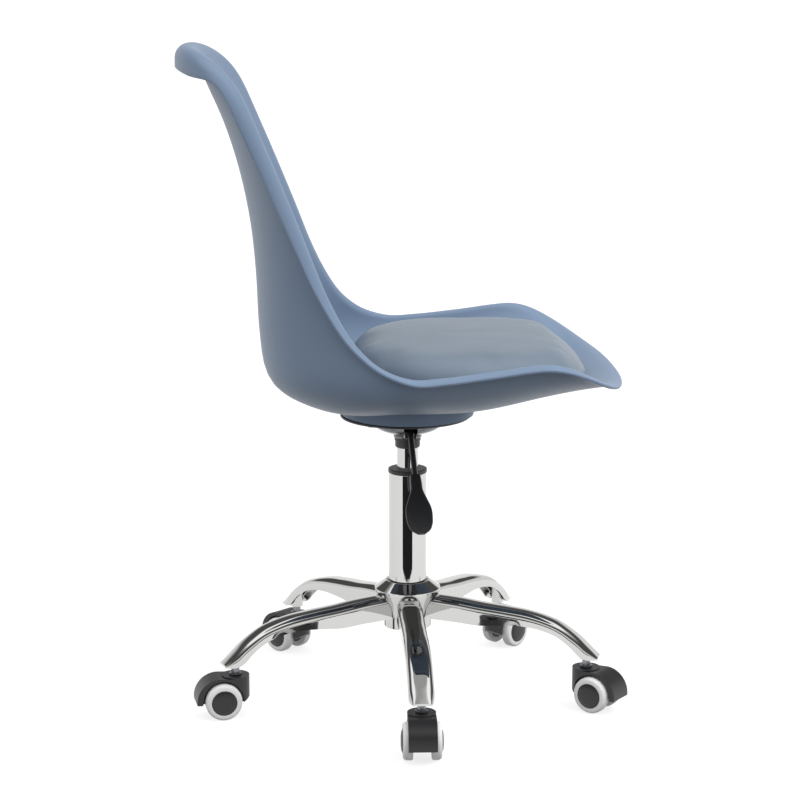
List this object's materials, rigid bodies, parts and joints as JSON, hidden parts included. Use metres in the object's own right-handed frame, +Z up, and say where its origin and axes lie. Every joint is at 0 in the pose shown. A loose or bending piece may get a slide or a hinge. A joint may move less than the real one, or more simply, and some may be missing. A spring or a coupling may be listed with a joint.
{
  "type": "swivel desk chair",
  "caption": "Swivel desk chair: moulded bucket shell with a padded seat on a gas lift, standing on a five-star base with twin-wheel casters.",
  "frame": {"origin": "on the floor, under the centre of the object's bounding box", "axes": "+X towards the front of the seat at rest, +Z up; the seat column stands at x 0.0068, y 0.0243"},
  "size_m": [0.579, 0.5418, 0.8641],
  "materials": {
    "chrome": "mirror chrome plating",
    "steel": "zinc-plated",
    "black_steel": "black powder coat",
    "black_plastic": "matte moulded",
    "tyre": "pale grey polyurethane",
    "shell": "satin moulded polypropylene",
    "cushion": "padded synthetic leather"
  },
  "bodies": {
    "base": {"base_hub": "chrome", "leg_1": "chrome", "leg_2": "chrome", "leg_3": "chrome", "leg_4": "chrome", "leg_5": "chrome", "column_outer_tube": "chrome", "column_guide_bush": "black_plastic", "thrust_bearing": "steel", "retaining_clip": "steel", "caster_stem_1": "steel", "caster_stem_2": "steel", "caster_stem_3": "steel", "caster_stem_4": "steel", "caster_stem_5": "steel"},
    "piston": {"piston_rod": "steel"},
    "seat": {"gas_cylinder": "chrome", "socket_sleeve": "black_steel", "swivel_cone": "chrome", "mounting_plate": "black_steel", "seat_bolt_1": "steel", "seat_bolt_2": "steel", "seat_bolt_3": "steel", "seat_bolt_4": "steel", "seat_shell": "shell", "seat_cushion": "cushion", "lever_pivot_pin": "steel"},
    "lever": {"lever_rod": "black_steel", "lever_paddle": "black_plastic"},
    "release": {"release_pin": "steel"},
    "caster_1": {"caster_hood_1": "black_plastic", "wheel_axle_1": "steel"},
    "wheel_1a": {"tyre_1a": "tyre", "wheel_core_1a": "black_plastic"},
    "wheel_1b": {"tyre_1b": "tyre", "wheel_core_1b": "black_plastic"},
    "caster_2": {"caster_hood_2": "black_plastic", "wheel_axle_2": "steel"},
    "wheel_2a": {"tyre_2a": "tyre", "wheel_core_2a": "black_plastic"},
    "wheel_2b": {"tyre_2b": "tyre", "wheel_core_2b": "black_plastic"},
    "caster_3": {"caster_hood_3": "black_plastic", "wheel_axle_3": "steel"},
    "wheel_3a": {"tyre_3a": "tyre", "wheel_core_3a": "black_plastic"},
    "wheel_3b": {"tyre_3b": "tyre", "wheel_core_3b": "black_plastic"},
    "caster_4": {"caster_hood_4": "black_plastic", "wheel_axle_4": "steel"},
    "wheel_4a": {"tyre_4a": "tyre", "wheel_core_4a": "black_plastic"},
    "wheel_4b": {"tyre_4b": "tyre", "wheel_core_4b": "black_plastic"},
    "caster_5": {"caster_hood_5": "black_plastic", "wheel_axle_5": "steel"},
    "wheel_5a": {"tyre_5a": "tyre", "wheel_core_5a": "black_plastic"},
    "wheel_5b": {"tyre_5b": "tyre", "wheel_core_5b": "black_plastic"}
  },
  "joints": [
    {"name": "seat_swivel", "type": "hinge", "parent": "base", "child": "piston", "pos_m": [0.0068, 0.0243, 0.2], "axis": [0, 0, 1], "continuous": true},
    {"name": "seat_lift", "type": "slide", "parent": "piston", "child": "seat", "axis": [0, 0, 1], "range_m": [0, 0.1]},
    {"name": "lift_lever", "type": "hinge", "parent": "seat", "child": "lever", "pos_m": [0.00764, 0.00832, 0.3706], "axis": [-0.9986, -0.0523, 0], "range_deg": [0, 8], "stiffness_Nm_per_rad": 2, "springref_deg": -20.05},
    {"name": "release_pin_press", "type": "slide", "parent": "seat", "child": "release", "axis": [0, 0, -1], "range_m": [0, 0.0025]},
    {"name": "caster_1_swivel", "type": "hinge", "parent": "base", "child": "caster_1", "pos_m": [0.0068, -0.2178, 0.05], "axis": [0, 0, 1], "continuous": true},
    {"name": "wheel_1a_roll", "type": "hinge", "parent": "caster_1", "child": "wheel_1a", "pos_m": [0.00617, -0.23579, 0.024], "axis": [0.9994, -0.0349, 0], "continuous": true},
    {"name": "wheel_1b_roll", "type": "hinge", "parent": "caster_1", "child": "wheel_1b", "pos_m": [0.00617, -0.23579, 0.024], "axis": [0.9994, -0.0349, 0], "continuous": true},
    {"name": "caster_2_swivel", "type": "hinge", "parent": "base", "child": "caster_2", "pos_m": [0.23705, -0.05051, 0.05], "axis": [0, 0, 1], "continuous": true},
    {"name": "wheel_2a_roll", "type": "hinge", "parent": "caster_2", "child": "wheel_2a", "pos_m": [0.25123, -0.06159, 0.024], "axis": [0.6157, 0.788, 0], "continuous": true},
    {"name": "wheel_2b_roll", "type": "hinge", "parent": "caster_2", "child": "wheel_2b", "pos_m": [0.25123, -0.06159, 0.024], "axis": [0.6157, 0.788, 0], "continuous": true},
    {"name": "caster_3_swivel", "type": "hinge", "parent": "base", "child": "caster_3", "pos_m": [0.1491, 0.22016, 0.05], "axis": [0, 0, 1], "continuous": true},
    {"name": "wheel_3a_roll", "type": "hinge", "parent": "caster_3", "child": "wheel_3a", "pos_m": [0.16161, 0.23311, 0.024], "axis": [-0.7193, 0.6947, 0], "continuous": true},
    {"name": "wheel_3b_roll", "type": "hinge", "parent": "caster_3", "child": "wheel_3b", "pos_m": [0.16161, 0.23311, 0.024], "axis": [-0.7193, 0.6947, 0], "continuous": true},
    {"name": "caster_4_swivel", "type": "hinge", "parent": "base", "child": "caster_4", "pos_m": [-0.1355, 0.22016, 0.05], "axis": [0, 0, 1], "continuous": true},
    {"name": "wheel_4a_roll", "type": "hinge", "parent": "caster_4", "child": "wheel_4a", "pos_m": [-0.14778, 0.23333, 0.024], "axis": [-0.7314, -0.682, 0], "continuous": true},
    {"name": "wheel_4b_roll", "type": "hinge", "parent": "caster_4", "child": "wheel_4b", "pos_m": [-0.14778, 0.23333, 0.024], "axis": [-0.7314, -0.682, 0], "continuous": true},
    {"name": "caster_5_swivel", "type": "hinge", "parent": "base", "child": "caster_5", "pos_m": [-0.22345, -0.05051, 0.05], "axis": [0, 0, 1], "continuous": true},
    {"name": "wheel_5a_roll", "type": "hinge", "parent": "caster_5", "child": "wheel_5a", "pos_m": [-0.24128, -0.05302, 0.024], "axis": [0.1392, -0.9903, 0], "continuous": true},
    {"name": "wheel_5b_roll", "type": "hinge", "parent": "caster_5", "child": "wheel_5b", "pos_m": [-0.24128, -0.05302, 0.024], "axis": [0.1392, -0.9903, 0], "continuous": true}
  ],
  "couplings": [
    {"joint": "release_pin_press", "follows": "lift_lever", "m_per_rad": 0.016}
  ]
}
